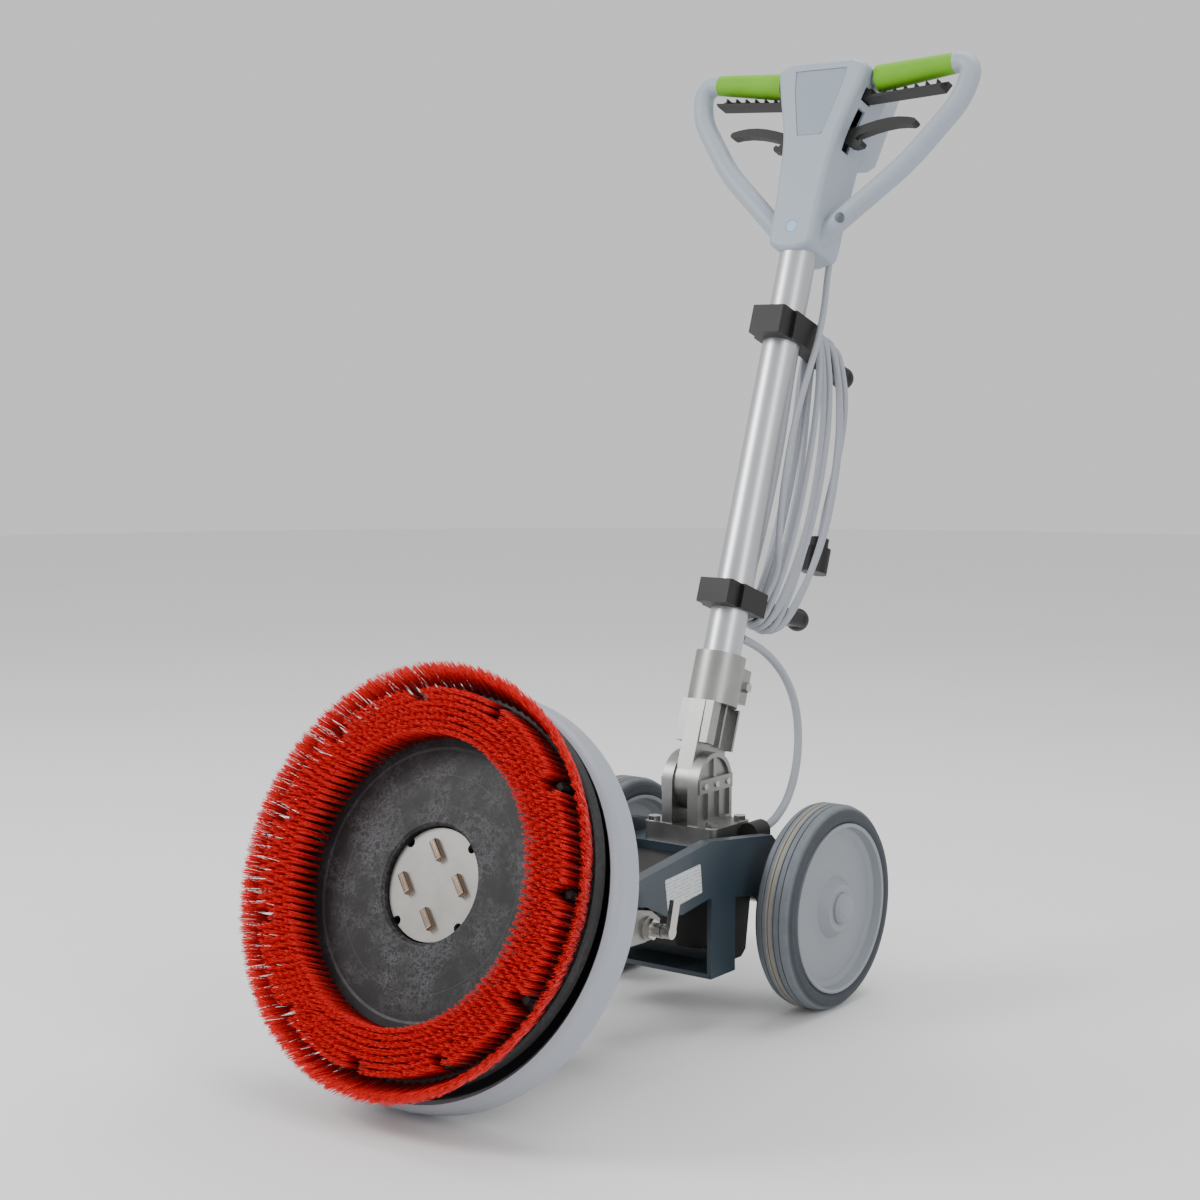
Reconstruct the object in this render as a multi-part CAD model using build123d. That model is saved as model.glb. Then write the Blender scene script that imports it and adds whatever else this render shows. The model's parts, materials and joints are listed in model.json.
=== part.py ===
from build123d import *
import math
import os

# A single-disc rotary floor scrubber, parked on its two wheels and on the rim of its bumper ring, with the
# brush facing forward. +X is the machine's right-hand side, +Y its back, +Z up, and the floor is z = 0.

# ---------------------------------------------------------------- driving dimensions (millimetres, degrees)
HEAD_LEAN = 20.3            # the brush face looks this far above the horizon
MAST_LEAN = 19.3            # the mast leans this far back from upright
Y_SHIFT = 157.24            # moves the wheel axle back, so that the origin is under the middle of the machine

WHEEL_R = 130.4
WHEEL_W = 55.0
WHEEL_OUTER_X = 185.5
RIM_R = 111.8
AXLE_R = 10.0

RING_BACK_R = 225.0         # centre of the rounded back corner of the bumper ring
RING_BACK_S = 50.0          # how far that corner's centre lies behind the drive plate's face
RING_CORNER_R = 10.0
RING_LIP_R = 227.0
DISC_Y = -575.3             # centre of the ring in the drive plate's plane, ahead of the wheel axle
AXIS_LIFT = 8.0             # the brush axis sits this far above the centre of the ring

PLATE_R = 63.0
BLOCK_R = 222.0
BLOCK_HOLE_R = 65.0
BLOCK_FRONT = 10.0
BLOCK_BACK = -9.5
TUFT_IN_R = 158.0
TUFT_OUT_R = 213.0
TUFT_TIP = 56.0
FLARE_TIP_R = 242.5
FLARE_TIP = 58.0
MOTOR_R = 82.0

GEAR_MODULE = 1.0           # the reduction gear's pitch radii: half the module times the number of teeth
SUN_R = GEAR_MODULE * 14 / 2
PLANET_R = GEAR_MODULE * 49 / 2
RING_GEAR_R = GEAR_MODULE * 112 / 2
GEAR_GAP = 0.3

HINGE_Y = -445.0            # the head's tilt hinge, ahead of the wheel axle
HINGE_Z = 196.7

ARM_OUT_X = 105.0
ARM_T = 16.0
ARM_IN_X = ARM_OUT_X - ARM_T

PIVOT_Y = -55.5             # the mast's pivot
PIVOT_Z = 281.5
EAR_R = 40.0
EAR_T = 16.0
TONGUE_T = 23.0

TUBE_R = 25.0
TUBE_BORE_R = 22.5
TUBE_BOTTOM = 105.0         # heights along the mast, from its pivot
TUBE_TOP = 760.0
UPPER_HOOK = 616.0
LOWER_HOOK = 244.0
ARM_TUBE_R = 14.0
GRIP_CORE_R = 10.0

MAINS_D = 9.0
MOTOR_LEAD_D = 11.0
PIVOT_PIN_R = 8.0           # radii of the fixed pins, and of the bearing surfaces inside the head
INDEX_PIN_R = 4.0
BAIL_PIN_R = 3.0
SHAFT_R = 9.0
PLANET_POST_R = 6.0
GEARBOX_R = 65.0
BEARING_R = 61.0
LEAD_HOLE_R = 7.0           # the hole in the tube that the motor lead comes out of
LEAD_HOLE_Z = 200.0
FIT = 0.05                  # radial clearance of a running fit
GAP = 0.4                   # clearance between pieces that only pass each other

# ---------------------------------------------------------------- the three frames the machine is built in
MACHINE = Plane(origin=(0, Y_SHIFT, 0))
lean = math.radians(HEAD_LEAN)
RING_CENTRE_Z = RING_BACK_S * math.sin(lean) + RING_BACK_R * math.cos(lean) + RING_CORNER_R
HEAD = Plane(
    origin=(0, DISC_Y + Y_SHIFT, RING_CENTRE_Z), x_dir=(1, 0, 0), z_dir=(0, -math.cos(lean), math.sin(lean))
)
rake = math.radians(MAST_LEAN)
MAST = Plane(
    origin=(0, PIVOT_Y + Y_SHIFT, PIVOT_Z), x_dir=(1, 0, 0), z_dir=(0, math.sin(rake), math.cos(rake))
)


def in_machine(shape):
    """From the wheel axle's frame: X right, Y back, Z up from the floor."""
    return MACHINE.location * shape


def in_head(shape):
    """From the head's frame: X right, Y up the disc, Z forward along the brush axis from the plate's face."""
    return HEAD.location * shape


def in_mast(shape):
    """From the mast's frame: X right, Y towards the back of the mast, Z up along it from the pivot."""
    return MAST.location * shape


def save(name, shape):
    """Writes one named piece, or one group of equal pieces, to its own file."""
    export_step(shape, os.path.join("parts", name + ".step"))


def group(shapes):
    """Several separate solids under one name."""
    solids = []
    for shape in shapes:
        solids.extend(shape.solids())
    return Compound(children=solids)


# ---------------------------------------------------------------- small building blocks
def rod_x(radius, x0, x1, y=0.0, z=0.0):
    """A round bar along X."""
    return Pos((x0 + x1) / 2, y, z) * Rot(0, 90, 0) * Cylinder(radius, abs(x1 - x0))


def rod_y(radius, y0, y1, x=0.0, z=0.0):
    """A round bar along Y."""
    return Pos(x, (y0 + y1) / 2, z) * Rot(90, 0, 0) * Cylinder(radius, abs(y1 - y0))


def rod_z(radius, z0, z1, x=0.0, y=0.0):
    """A round bar along Z."""
    return Pos(x, y, (z0 + z1) / 2) * Cylinder(radius, abs(z1 - z0))


def block(x0, x1, y0, y1, z0, z1):
    """A box between two corners."""
    return Pos((x0 + x1) / 2, (y0 + y1) / 2, (z0 + z1) / 2) * Box(abs(x1 - x0), abs(y1 - y0), abs(z1 - z0))


def slab_x(points, x0, x1):
    """A flat outline in the YZ plane, given thickness along X."""
    face = make_face(Plane.YZ * Polyline(*points, close=True))
    return extrude(Pos(x0, 0, 0) * face, amount=x1 - x0, dir=(1, 0, 0))


def slab_y(points, y0, y1):
    """A flat outline of (x, z) points, given thickness along Y."""
    ring = Polyline(*[(x, 0, z) for x, z in points], close=True)
    return extrude(Pos(0, y0, 0) * make_face(ring), amount=y1 - y0, dir=(0, 1, 0))


def turned(points):
    """A profile of (radius, z) points spun about Z."""
    profile = make_face(Polyline(*[(r, 0, z) for r, z in points], close=True))
    return revolve(profile, axis=Axis.Z, revolution_arc=360)


def hexagon_z(across_flats, z0, z1):
    """A hexagonal bar along Z."""
    flat = RegularPolygon(across_flats / math.sqrt(3), 6)
    return extrude(Pos(0, 0, z0) * flat, amount=z1 - z0)


# ---------------------------------------------------------------- wheels and axle
def tyre():
    """A solid rubber tyre with fine grooves round its tread, centred on the wheel's middle plane."""
    half = WHEEL_W / 2
    wall_in = RIM_R - 4
    shoulder = WHEEL_R - 9
    section = Polyline((wall_in, 0, -half + 4), (RIM_R + 3, 0, -half), (shoulder, 0, -half + 1),
                       (WHEEL_R - 2.5, 0, -half + 7), (WHEEL_R, 0, -half + 14), (WHEEL_R, 0, half - 14),
                       (WHEEL_R - 2.5, 0, half - 7), (shoulder, 0, half - 1), (RIM_R + 3, 0, half),
                       (wall_in, 0, half - 4), close=True)
    body = revolve(make_face(section), axis=Axis.Z, revolution_arc=360)
    groove_width, groove_depth = 1.6, 1.8
    for z in (-12, -4, 4, 12):
        cutter = turned([(WHEEL_R - groove_depth, z - groove_width / 2), (WHEEL_R + 2, z - groove_width / 2),
                         (WHEEL_R + 2, z + groove_width / 2), (WHEEL_R - groove_depth, z + groove_width / 2)])
        body -= cutter
    return body


def rim():
    """A moulded rim: a rolled lip, a recessed flat web, and a raised conical hub with the axle's bore."""
    half = WHEEL_W / 2
    seat = RIM_R - 4
    bore = AXLE_R + FIT
    outer = [(bore, half - 2), (30, half - 2), (40, half - 13), (52, half - 15), (94, half - 15),
             (101, half - 12), (103, half - 1.5), (106, half), (seat, half - 1), (seat, half - 4)]
    inner = [(seat, -half + 4), (seat, -half + 1), (106, -half), (103, -half + 1.5), (101, -half + 12),
             (94, -half + 21), (40, -half + 21), (28, -half + 2), (bore, -half + 2)]
    return turned(outer + inner)


def wheel_cap():
    """The domed push-on cap over the end of the axle."""
    return turned([(0, 0.3), (20, 0.3), (20, 3), (17, 7), (11, 10), (0, 11)])


def wheels():
    """Both wheels: tyre, rim and cap for each side."""
    middle = WHEEL_OUTER_X - WHEEL_W / 2
    cap_x = WHEEL_OUTER_X - 2
    for side, sign in (("right", 1), ("left", -1)):
        hub = Plane(origin=(sign * middle, Y_SHIFT, WHEEL_R), x_dir=(0, 1, 0), z_dir=(sign, 0, 0))
        save("tyre_" + side, hub.location * tyre())
        save("rim_" + side, hub.location * rim())
        cap_at = Plane(origin=(sign * cap_x, Y_SHIFT, WHEEL_R), x_dir=(0, 1, 0), z_dir=(sign, 0, 0))
        save("wheel_cap_" + side, cap_at.location * wheel_cap())


def axle():
    """The through axle and the two spacer bushes between it, the arms and the wheels."""
    end = WHEEL_OUTER_X - 3
    save("axle", in_machine(rod_x(AXLE_R, -end, end, 0, WHEEL_R)))
    spacers = []
    for sign in (-1, 1):
        x0, x1 = ARM_OUT_X, WHEEL_OUTER_X - WHEEL_W + 2 - GAP
        tube = rod_x(17, sign * x0, sign * x1, 0, WHEEL_R) - rod_x(AXLE_R, sign * 90, sign * 140, 0, WHEEL_R)
        spacers.append(in_machine(tube))
    save("axle_spacers", group(spacers))


# ---------------------------------------------------------------- chassis
UNDERSIDE_FRONT = (-185.0, 168.0)
UNDERSIDE_BACK = (-60.0, 148.0)


def arm_underside(y):
    """Height of the arms' straight lower edge above the foot bracket."""
    (y0, z0), (y1, z1) = UNDERSIDE_FRONT, UNDERSIDE_BACK
    return z0 + (z1 - z0) * (y - y0) / (y1 - y0)


def side_arm(sign):
    """One boomerang-shaped arm, from the wheel axle forward to the eye that carries the head."""
    top = [(-455, 214), (-328, 219), (-181, 238), (-41, 222), (30, 160)]
    bottom = [(34, 108), (-30, 104), UNDERSIDE_BACK, UNDERSIDE_FRONT, (-243, 160), (-277, 165), (-316, 184),
              (-345, 190), (-455, 182)]
    x0, x1 = (ARM_IN_X, ARM_OUT_X) if sign > 0 else (-ARM_OUT_X, -ARM_IN_X)
    plate = slab_x(top + bottom, x0, x1)
    plate += rod_x(28, x0, x1, HINGE_Y, HINGE_Z)
    plate -= rod_x(HINGE_PIN_R + FIT, x0 - 1, x1 + 1, HINGE_Y, HINGE_Z)
    plate -= rod_x(AXLE_R, x0 - 1, x1 + 1, 0, WHEEL_R)
    return in_machine(plate)


BASE_BOLTS = [(x, y) for x in (-44, 44) for y in (-88, -22)]


def cross_plate():
    """The folded plate that joins the two arms and carries the mast's pivot."""
    inner = ARM_IN_X
    plate = block(-inner, inner, -104, -2, 201, 207)
    plate += block(-inner, inner, -104, -98, 184, 201)
    plate += block(-inner, inner, -8, -2, 184, 201)
    for x, y in BASE_BOLTS:
        plate -= rod_z(5.5, 190, 210, x, y)
    return in_machine(plate)


def foot_bracket():
    """The U-shaped strip that hangs from the arms under the chassis, with a raised lip along its back."""
    front, back, bottom, t = -180.0, -126.0, 66.0, 6.0
    out = ARM_OUT_X
    strip = block(-out, out, front, back, bottom, bottom + t)
    side = [(front, bottom), (back, bottom), (back, arm_underside(back)), (front, arm_underside(front))]
    strip += slab_x(side, out - t, out)
    strip += slab_x(side, -out, t - out)
    strip += block(8 - out, out - 8, back - 3, back, bottom + t, bottom + t + 15)
    return in_machine(strip)


def electrics_box():
    """The closed box under the chassis that holds the capacitors and terminals."""
    profile = [(-262, 196), (-262, 132), (-198, 124), (-192, 104), (-140, 89), (-118, 89), (-118, 58),
               (-44, 58), (-34, 66), (-24, 128), (-24, 180), (-106, 180), (-106, 196)]
    half = 62.0
    return in_machine(slab_x(profile, -half, half))


PLUNGER_Y, PLUNGER_Z = -309.0, 157.0


def lock_bracket():
    """The cast bracket under the right arm that carries the indexing plunger."""
    plate = slab_x([(-352, 188), (-300, 176), (-282, 163), (-290, 146), (-312, 141), (-345, 142), (-372, 154)],
                   ARM_IN_X + 1, ARM_IN_X + 11)
    plate += rod_x(14, ARM_IN_X + 1, ARM_IN_X + 14, PLUNGER_Y, PLUNGER_Z)
    plate -= rod_x(8, ARM_IN_X, ARM_IN_X + 15, PLUNGER_Y, PLUNGER_Z)
    return in_machine(plate)


def plunger():
    """The indexing plunger: a fixed hexagonal sleeve, the pin inside it and the L-shaped pull lever."""
    sleeve = Pos(ARM_IN_X + 14, PLUNGER_Y, PLUNGER_Z) * Rot(0, 90, 0) * hexagon_z(22, 0, 7)
    sleeve += rod_x(8, ARM_IN_X + 1, ARM_IN_X + 14, PLUNGER_Y, PLUNGER_Z)
    sleeve += rod_x(8.5, ARM_IN_X + 21, ARM_IN_X + 34, PLUNGER_Y, PLUNGER_Z)
    sleeve -= rod_x(INDEX_PIN_R + FIT, ARM_IN_X - 2, ARM_IN_X + 35, PLUNGER_Y, PLUNGER_Z)
    save("plunger_sleeve", in_machine(sleeve))
    pin = rod_x(INDEX_PIN_R, ARM_IN_X - 1, ARM_IN_X + 45, PLUNGER_Y, PLUNGER_Z)
    save("index_pin", in_machine(pin))
    lever = rod_x(8, ARM_IN_X + 35, ARM_IN_X + 47, PLUNGER_Y, PLUNGER_Z)
    lever += slab_x([(PLUNGER_Y - 7, PLUNGER_Z), (PLUNGER_Y + 7, PLUNGER_Z), (PLUNGER_Y + 16, PLUNGER_Z + 34),
                     (PLUNGER_Y + 3, PLUNGER_Z + 38)], ARM_IN_X + 41, ARM_IN_X + 47)
    lever -= rod_x(INDEX_PIN_R + FIT, ARM_IN_X + 34, ARM_IN_X + 45, PLUNGER_Y, PLUNGER_Z)
    save("index_lever", in_machine(lever))


GLAND = (72.0, 220.0)       # x and z of the hole in the lead's saddle
GLAND_STOP_Y = -36.0


EAR_RELIEF = 4.0            # depth of the pockets in the ears' outer faces
STRIP_HALF = 9.0            # half the height of the keeper strips


def ear_relief(x0, x1):
    """The arched pocket above the keeper strip, split by a rib, and the fluted pocket below it."""
    rim = EAR_R - 6
    arch = rod_x(rim, x0, x1, PIVOT_Y, PIVOT_Z)
    arch -= block(x0, x1, PIVOT_Y - EAR_R, PIVOT_Y + EAR_R, PIVOT_Z - EAR_R, PIVOT_Z + STRIP_HALF)
    arch -= block(x0, x1, PIVOT_Y - 3, PIVOT_Y + 3, PIVOT_Z, PIVOT_Z + EAR_R)
    flutes = block(x0, x1, PIVOT_Y - rim, PIVOT_Y + rim, 237, PIVOT_Z - STRIP_HALF)
    for y in (-13, 13):
        flutes -= block(x0, x1, PIVOT_Y + y - 3, PIVOT_Y + y + 3, 230, PIVOT_Z)
    return arch + flutes


def pivot_base():
    """The cast clevis that the mast pivots in: a bolted foot with two upright ears."""
    foot = block(-55, 55, -98, -12, 207, 231)
    foot = fillet(foot.edges().filter_by(Axis.Z), 8)
    for sign in (-1, 1):
        x0 = sign * (TONGUE_T / 2 + GAP)
        x1 = sign * (TONGUE_T / 2 + EAR_T)
        foot += block(x0, x1, PIVOT_Y - EAR_R, PIVOT_Y + EAR_R, 231, PIVOT_Z)
        foot += rod_x(EAR_R, x0, x1, PIVOT_Y, PIVOT_Z)
        foot -= ear_relief(x1 - sign * EAR_RELIEF, x1 + sign)
    foot -= rod_x(PIVOT_PIN_R, -60, 60, PIVOT_Y, PIVOT_Z)
    for x, y in BASE_BOLTS:
        foot -= rod_z(5.5, 200, 240, x, y)
    save("pivot_base", in_machine(foot))


def pivot_keepers():
    """The pivot pin, the keeper strips over its ends, and the screws that hold the strips and the foot."""
    strips, screws = [], []
    for x, y in BASE_BOLTS:
        bolt = Pos(x, y, 0) * (hexagon_z(15, 231, 237) + rod_z(5.5, 199, 231))
        screws.append(in_machine(bolt))
    face = TONGUE_T / 2 + EAR_T
    for sign in (-1, 1):
        top = face + 2.5
        strip = block(sign * face, sign * top, PIVOT_Y - 38, PIVOT_Y + 38,
                      PIVOT_Z - STRIP_HALF, PIVOT_Z + STRIP_HALF)
        for y in (PIVOT_Y - 26, PIVOT_Y, PIVOT_Y + 26):
            strip -= rod_x(2, sign * (face - 1), sign * (top + 1), y, PIVOT_Z)
            shank = rod_x(2, sign * face, sign * top, y, PIVOT_Z)
            screws.append(in_machine(shank + rod_x(4, sign * top, sign * (top + 2), y, PIVOT_Z)))
        strips.append(in_machine(strip))
    save("keeper_strips", group(strips))
    save("pivot_screws", group(screws))
    save("mast_pivot_pin", in_machine(rod_x(PIVOT_PIN_R, -face, face, PIVOT_Y, PIVOT_Z)))


def lead_gland():
    """The saddle on the chassis that the motor lead goes into."""
    x, z = GLAND
    saddle = rod_y(14, -46, -14, x, z) + block(x - 14, x + 14, -46, -14, 207, z)
    saddle = saddle & block(x - 20, x + 20, -50, -10, 207, z + 20)
    saddle -= rod_y(MOTOR_LEAD_D / 2 + 1, GLAND_STOP_Y, -13, x, z)
    return in_machine(saddle)


def chassis():
    save("side_arm_right", side_arm(1))
    save("side_arm_left", side_arm(-1))
    save("cross_plate", cross_plate())
    save("foot_bracket", foot_bracket())
    save("electrics_box", electrics_box())
    save("lock_bracket", lock_bracket())
    plunger()
    pivot_base()
    pivot_keepers()
    save("lead_gland", lead_gland())


# ---------------------------------------------------------------- head
def bumper_ring():
    """The grey ring round the head: a rolled front lip, a bellied wall and a rounded back corner."""
    r_max = RING_BACK_R + RING_CORNER_R
    back = -(RING_BACK_S + RING_CORNER_R)
    outline = Polyline((RING_LIP_R - 3, 0, -14), (RING_LIP_R, 0, -10.6)) + ThreePointArc(
        (RING_LIP_R, 0, -10.6), (r_max - 2.6, 0, -16), (r_max, 0, -30))
    outline += Line((r_max, 0, -30), (r_max, 0, -RING_BACK_S))
    halfway = RING_CORNER_R * math.sqrt(0.5)
    outline += ThreePointArc((r_max, 0, -RING_BACK_S), (RING_BACK_R + halfway, 0, -RING_BACK_S - halfway),
                             (RING_BACK_R, 0, back))
    outline += Polyline((RING_BACK_R, 0, back), (RING_BACK_R - 4, 0, back), (RING_BACK_R - 4, 0, -18),
                        (RING_LIP_R - 3, 0, -14))
    return in_head(revolve(make_face(outline), axis=Axis.Z, revolution_arc=360))


HINGE_HOLE_X = MOTOR_R - 5
HINGE_PIN_R = 12.0


def hinge_rod(radius, x0, x1):
    """A round bar on the head's hinge line."""
    return in_machine(rod_x(radius, x0, x1, HINGE_Y, HINGE_Z))


def deck():
    """The cast deck behind the brush: a shallow pan that rises in a cone to the gearbox's neck."""
    rim_r = RING_BACK_R - 4
    pan = turned([(0, -50), (112, -50), (190, -48), (rim_r - 6, -40), (rim_r, -40), (rim_r, -58),
                  (rim_r - 14, -64), (118, -76), (96, -104), (MOTOR_R, -112), (MOTOR_R, -172), (0, -172)])
    gearbox = turned([(0, -173), (GEARBOX_R, -173), (GEARBOX_R, -84), (56, -84), (56, -66), (BEARING_R, -66),
                      (BEARING_R, -49), (0, -49)])
    pan -= Pos(0, AXIS_LIFT, 0) * gearbox
    body = in_head(pan)
    for sign in (-1, 1):
        body += hinge_rod(22, sign * (MOTOR_R - 12), sign * (ARM_IN_X - GAP))
    body -= in_head(Pos(0, AXIS_LIFT, 0) * rod_z(GEARBOX_R, -173, -84))
    for sign in (-1, 1):
        body -= hinge_rod(HINGE_PIN_R, sign * HINGE_HOLE_X, sign * ARM_IN_X)
    return body


def head_hinge_pins():
    """The two headed stub pins that the head swings on in the arms' eyes."""
    pins = []
    for sign in (-1, 1):
        pin = hinge_rod(HINGE_PIN_R, sign * HINGE_HOLE_X, sign * (ARM_OUT_X + GAP))
        pins.append(pin + hinge_rod(18, sign * (ARM_OUT_X + GAP), sign * (ARM_OUT_X + 4)))
    return pins


def motor_shell():
    """The finned motor body behind the deck."""
    body = turned([(MOTOR_R, -172), (MOTOR_R, -258), (MOTOR_R - 6, -264), (74, -264), (74, -172)])
    fins = 28
    for k in range(fins):
        if k % 7:
            body += Rot(0, 0, k * 360 / fins) * block(MOTOR_R - 1, MOTOR_R + 3, -1.2, 1.2, -254, -178)
    return in_head(body)


def motor_cowl():
    """The dished fan cowl that closes the motor's end."""
    cowl = turned([(MOTOR_R - 4, -264), (MOTOR_R - 4, -280), (MOTOR_R - 16, -290), (0, -290), (0, -286.5),
                   (MOTOR_R - 18, -286.5), (MOTOR_R - 8, -278), (MOTOR_R - 8, -264)])
    for k in range(12):
        cowl -= Rot(0, 0, k * 30) * block(26, 56, -2.5, 2.5, -292, -284)
    return in_head(cowl)


def motor_inside():
    """Stator, rotor with its shaft and pinion, cooling fan, the fixed ring gear and the output bearing."""
    lift = Pos(0, AXIS_LIFT, 0)
    stator = turned([(46, -180), (GEARBOX_R, -180), (GEARBOX_R, -250), (46, -250)])
    save("motor_stator", in_head(lift * stator))
    save("motor_rotor", in_head(lift * turned([(SHAFT_R, -182), (45, -182), (45, -248), (SHAFT_R, -248)])))
    shaft = rod_z(SHAFT_R, -262, -104) + rod_z(SUN_R, -104, -86)
    save("rotor_shaft", in_head(lift * shaft))
    fan = turned([(SHAFT_R, -252), (20, -252), (20, -262), (SHAFT_R, -262)])
    for k in range(8):
        fan += Rot(0, 0, k * 45) * block(18, 56, -1.5, 1.5, -262, -254)
    save("cooling_fan", in_head(lift * fan))
    gear = turned([(RING_GEAR_R, -86), (GEARBOX_R, -86), (GEARBOX_R, -104), (RING_GEAR_R, -104)])
    save("ring_gear", in_head(lift * gear))
    save("output_bearing", in_head(lift * turned([(30, -66), (BEARING_R, -66), (BEARING_R, -50), (30, -50)])))


def head():
    save("bumper_ring", bumper_ring())
    save("deck", deck())
    save("motor_shell", motor_shell())
    save("motor_cowl", motor_cowl())
    save("head_hinge_pins", group(head_hinge_pins()))
    motor_inside()


# ---------------------------------------------------------------- brush drive
def brush_drive():
    """Everything that turns with the brush, about the axis AXIS_LIFT above the ring's centre."""
    lift = Pos(0, AXIS_LIFT, 0)
    carrier = turned([(0, -4), (0, -78), (54, -78), (54, -70), (29.9, -66), (29.9, -42), (40, -38), (40, -20),
                      (52, -16), (52, -4)])
    planets = []
    for k in range(3):
        place = Rot(0, 0, k * 120) * Pos(SUN_R + PLANET_R, 0, 0)
        gear = rod_z(PLANET_R - GEAR_GAP, -103, -87) - rod_z(PLANET_POST_R + FIT, -104, -86)
        planets.append(in_head(lift * place * gear))
        carrier += place * rod_z(PLANET_POST_R, -103, -77)
    save("drive_hub", in_head(lift * carrier))
    save("planet_gears", group(planets))

    plate = rod_z(PLATE_R, -4, 0)
    for k in range(4):
        plate -= Rot(0, 0, 48 + 90 * k) * rod_z(5.5, -5, 1, PLATE_R - 1.5, 0)
    save("drive_plate", in_head(lift * plate))
    studs = []
    for k in range(4):
        angle = math.radians(6 + 90 * k)
        stud = Pos(38 * math.cos(angle), 38 * math.sin(angle), 4) * Rot(0, 0, 40) * Box(9, 25, 8)
        top = stud.faces().sort_by(Axis.Z)[-1].edges()
        studs.append(in_head(lift * fillet(top, 3)))
    save("drive_studs", group(studs))

    disc = turned([(BLOCK_HOLE_R, BLOCK_BACK), (BLOCK_R - 3, BLOCK_BACK), (BLOCK_R, BLOCK_BACK + 4),
                   (BLOCK_R, BLOCK_FRONT - 2), (BLOCK_R - 2, BLOCK_FRONT), (TUFT_IN_R - 6, BLOCK_FRONT),
                   (TUFT_IN_R - 9, BLOCK_FRONT - 1), (BLOCK_HOLE_R + 3, BLOCK_FRONT - 1),
                   (BLOCK_HOLE_R, BLOCK_FRONT - 4)])
    save("brush_block", in_head(lift * disc))
    field = turned([(TUFT_IN_R, BLOCK_FRONT), (TUFT_OUT_R - 5, BLOCK_FRONT), (TUFT_OUT_R, TUFT_TIP),
                    (TUFT_IN_R + 2, TUFT_TIP)])
    save("inner_bristles", in_head(lift * field))
    flare = turned([(TUFT_OUT_R - 3, BLOCK_FRONT), (BLOCK_R - 3, BLOCK_FRONT), (FLARE_TIP_R, FLARE_TIP),
                    (FLARE_TIP_R - 14, FLARE_TIP)])
    save("outer_bristles", in_head(lift * flare))


# ---------------------------------------------------------------- mast
LUG_Y, LUG_Z = 40.0, 135.0      # the clamping lug behind the socket, and its bolt
CLAMP_BOLT_R = 4.0


def socket_casting():
    """The ribbed casting that holds the foot of the mast tube and ends in the pivot's tongue."""
    sleeve = rod_z(33, 102, 168)
    sleeve += block(-9, 20, 24, LUG_Y + 8, 112, 158)
    sleeve -= rod_z(TUBE_R, TUBE_BOTTOM, 169)
    web = slab_x([(-36, 0), (-34, 102), (34, 102), (36, 0)], -TONGUE_T / 2, TONGUE_T / 2)
    web += rod_x(37, -TONGUE_T / 2, TONGUE_T / 2)
    web += block(-24, 24, -33, -15, 47, 102)
    web += block(-24, 24, 29, 33, 47, 102)
    web += block(-19, 19, 5, 9, 47, 102)
    body = sleeve + web
    body -= rod_x(PIVOT_PIN_R + FIT, -30, 30)
    body -= block(-1.5, 1.5, 24, LUG_Y + 10, 106, 170)
    body -= rod_x(CLAMP_BOLT_R, -11, 25, LUG_Y, LUG_Z)
    return in_mast(body)


def clamp_bolt():
    """The bolt that pinches the socket on the tube."""
    bolt = rod_x(CLAMP_BOLT_R, -9, 20, LUG_Y, LUG_Z)
    for x in (-15, 20):
        bolt += Pos(x, LUG_Y, LUG_Z) * Rot(0, 90, 0) * hexagon_z(12, 0, 6)
    return in_mast(bolt)


def mast_tube():
    """The anodised tube, with the hole that the motor lead comes out of."""
    tube = rod_z(TUBE_R, TUBE_BOTTOM, TUBE_TOP) - rod_z(TUBE_BORE_R, TUBE_BOTTOM - 1, TUBE_TOP + 1)
    tube -= rod_y(LEAD_HOLE_R, 0, 40, 0, LEAD_HOLE_Z)
    return in_mast(tube)


def lead_grommet():
    """The black grommet in the tube's side where the motor lead comes out."""
    ring = rod_y(LEAD_HOLE_R + 3, 25.6, 33, 0, LEAD_HOLE_Z) + rod_y(LEAD_HOLE_R, 21, 26, 0, LEAD_HOLE_Z)
    ring -= rod_y(MOTOR_LEAD_D / 2, 20, 34, 0, LEAD_HOLE_Z)
    ring -= rod_z(TUBE_R, LEAD_HOLE_Z - 20, LEAD_HOLE_Z + 20) - rod_y(LEAD_HOLE_R, 15, 30, 0, LEAD_HOLE_Z)
    return in_mast(ring)


HOOK_REACH = 186.0
HOOK_HALF_W = 14.0
HOOK_BALL_R = 16.0


def cable_hook(height, tilt, rise):
    """A clamp block round the tube with an arm straight out behind it. The arm rises by `rise` at its tip."""
    half = rise / 2
    clamp = block(-25, 25, -47, -20, -half, half)
    clamp = fillet(clamp.edges().filter_by(Axis.Z), 3)
    clamp += block(-30, 30, -22, 38, -half, half)
    clamp -= rod_z(TUBE_R, -half - 1, half + 1)
    tip = HOOK_REACH - HOOK_BALL_R
    root = [(34, -11), (34, 11), (tip, tilt + 11), (tip, tilt - 11)]
    arm = slab_x(root, -HOOK_HALF_W, HOOK_HALF_W)
    arm = fillet(arm.edges().filter_by(Axis.Y, reverse=True).filter_by(lambda e: e.length > 100), 5)
    arm += Pos(0, tip, tilt) * Sphere(HOOK_BALL_R)
    return in_mast(Pos(0, 0, height) * (clamp + arm))


HOUSING_SIDE = [(33, 729), (35, 752), (35.5, 786), (38, 830), (45, 891), (56, 930), (70, 985)]
HOUSING_FOOT = 720.0        # heights of the middle of the housing's foot and crown, and of its solid part
HOUSING_CROWN = 1001.0
SOLID_FOOT = 752.0


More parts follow.
